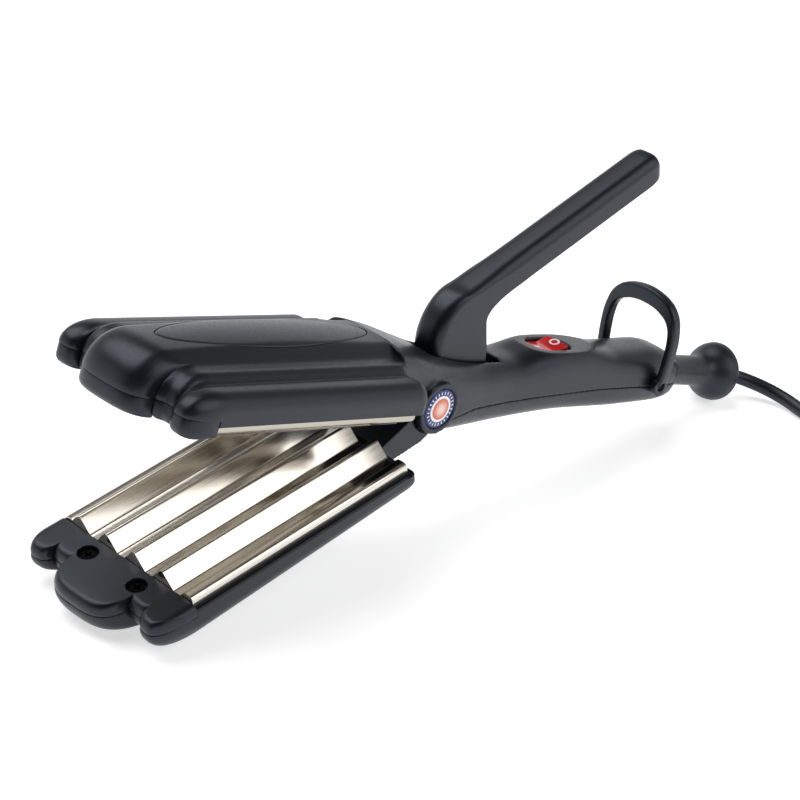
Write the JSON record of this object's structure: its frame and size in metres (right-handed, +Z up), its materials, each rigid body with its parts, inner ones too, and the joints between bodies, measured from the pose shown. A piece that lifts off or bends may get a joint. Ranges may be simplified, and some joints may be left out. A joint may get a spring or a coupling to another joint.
{
  "type": "hair crimper",
  "caption": "Hair crimper with two waved heating plates on hinged jaws, a squeeze lever, a rocker switch, a hanging loop and a swivel mains cord.",
  "frame": {"origin": "centre of the tool's footprint on the surface it lies on, without the cord", "axes": "+X towards the cord end of the handle, +Z up, the jaws open in the XZ plane"},
  "size_m": [0.539, 0.1062, 0.1269],
  "materials": {
    "charcoal_plastic": "fine satin texture",
    "dark_plastic": "satin",
    "plate_metal": "polished, warm nickel tone",
    "steel": "bright",
    "red_rocker": "glossy",
    "badge_print": "printed disc under clear gloss",
    "mica": "layered",
    "board": "satin",
    "cord_rubber": "matte"
  },
  "bodies": {
    "handle_and_upper_jaw": {"upper_jaw_cover": "charcoal_plastic", "oval_inlay": "charcoal_plastic", "upper_nose_cap": "charcoal_plastic", "upper_wave_plate": "plate_metal", "upper_plate_frame": "dark_plastic", "upper_heater": "steel", "upper_insulation": "mica", "upper_thermal_fuse": "steel", "upper_nose_screws": "steel", "handle_upper_shell": "charcoal_plastic", "handle_lower_shell": "charcoal_plastic", "handle_screws": "steel", "pivot_pin": "steel", "near_badge": "badge_print", "far_badge": "badge_print", "torsion_spring": "steel", "switch_body": "dark_plastic", "circuit_board": "board", "cord_anchor": "dark_plastic", "cord_lead": "cord_rubber", "cord_coil": "cord_rubber", "plug_body": "cord_rubber", "plug_blades": "steel"},
    "lower_jaw": {"lower_jaw_cover": "charcoal_plastic", "lower_nose_cap": "charcoal_plastic", "lower_wave_plate": "plate_metal", "lower_plate_frame": "dark_plastic", "lower_heater": "steel", "lower_insulation": "mica", "lower_thermal_fuse": "steel", "lower_nose_screws": "steel", "hinge_arm": "charcoal_plastic", "lever": "charcoal_plastic", "lever_tip_stud": "dark_plastic"},
    "switch_rocker": {"rocker": "red_rocker"},
    "loop_pins": {"loop_pins": "steel"},
    "hang_loop": {"hang_loop": "charcoal_plastic"},
    "cord_swivel": {"cord_swivel": "cord_rubber"}
  },
  "joints": [
    {"name": "jaw_hinge", "type": "hinge", "parent": "handle_and_upper_jaw", "child": "lower_jaw", "pos_m": [-0.02677, 0, 0.05482], "axis": [0, 1, 0], "range_deg": [0, 25.5], "stiffness_Nm_per_rad": 0.9, "springref_deg": -45.84},
    {"name": "switch_rocker", "type": "hinge", "parent": "handle_and_upper_jaw", "child": "switch_rocker", "pos_m": [0.05586, 0, 0.04924], "axis": [0, 1, 0], "range_deg": [0, 20]},
    {"name": "loop_pins_turn", "type": "hinge", "parent": "handle_and_upper_jaw", "child": "loop_pins", "pos_m": [0.11499, 0, 0.02676], "axis": [0, 1, 0], "range_deg": [0, 25.5]},
    {"name": "hang_loop_hinge", "type": "hinge", "parent": "loop_pins", "child": "hang_loop", "pos_m": [0.11499, 0, 0.02676], "axis": [0, 1, 0], "range_deg": [0, 68]},
    {"name": "cord_swivel_turn", "type": "hinge", "parent": "handle_and_upper_jaw", "child": "cord_swivel", "pos_m": [0.13803, 0, 0.0221], "axis": [0.9663, 0, -0.2573], "continuous": true}
  ],
  "couplings": [
    {"joint": "loop_pins_turn", "follows": "jaw_hinge", "ratio": 1}
  ]
}
